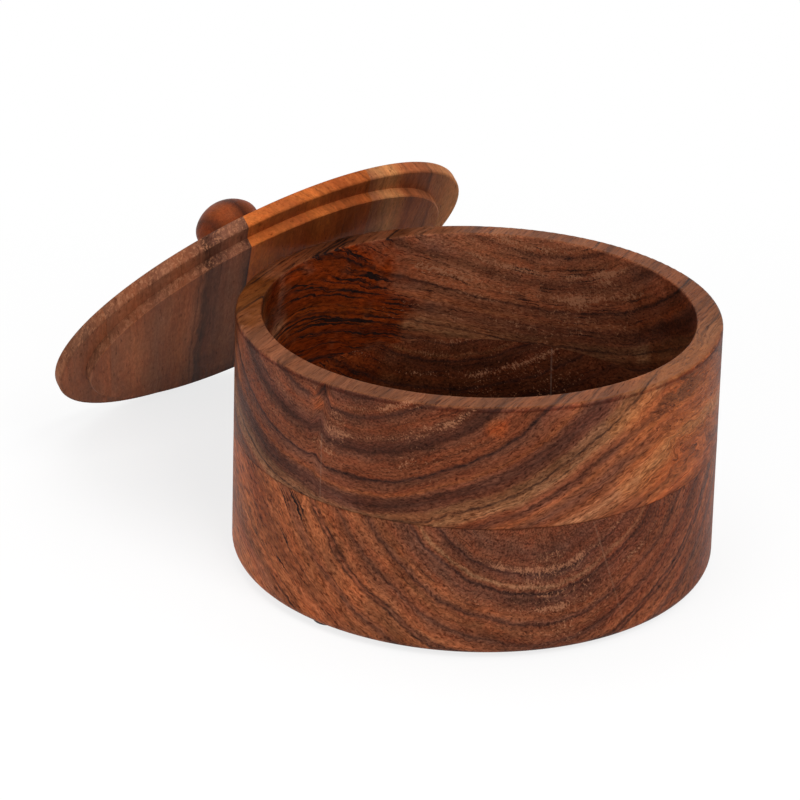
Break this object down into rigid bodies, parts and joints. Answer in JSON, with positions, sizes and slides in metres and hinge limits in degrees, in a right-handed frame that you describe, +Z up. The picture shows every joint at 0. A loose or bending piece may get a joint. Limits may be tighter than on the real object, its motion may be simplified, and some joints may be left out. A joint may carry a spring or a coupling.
{
  "type": "wooden canister",
  "caption": "Round turned wooden canister with a straight-sided bin on small feet, and a loose flat lid with a ball knob leaning on its rim.",
  "frame": {"origin": "centre of the canister's wooden base, on the axis of the turned body; the rubber feet reach 2 mm below it", "axes": "+Z up along the body's axis; the picture is seen along about +Y from the front, with +X to the right; the lid leans on the back left of the rim, at 134 degrees from +X"},
  "size_m": [0.2902, 0.2911, 0.1476],
  "materials": {
    "body_wood": "oiled reddish-brown hardwood with dark growth rings, satin",
    "lid_wood": "oiled edge-glued boards, orange-brown to purple-brown, satin",
    "knob_wood": "oiled dark reddish-brown hardwood, satin",
    "dowel_wood": "plain pale hardwood, unfinished",
    "foot_rubber": "matt black rubber"
  },
  "bodies": {
    "canister": {"body_base": "body_wood", "body_upper_ring": "body_wood", "foot_1": "foot_rubber", "foot_2": "foot_rubber", "foot_3": "foot_rubber"},
    "lid": {"lid_board_1": "lid_wood", "lid_board_2": "lid_wood", "lid_board_3": "lid_wood", "lid_board_4": "lid_wood", "knob": "knob_wood", "knob_dowel": "dowel_wood"}
  },
  "joints": [
    {"name": "lid_lift", "type": "slide", "parent": "canister", "child": "lid", "axis": [0, 0, 1], "range_m": [0, 0.12]}
  ]
}
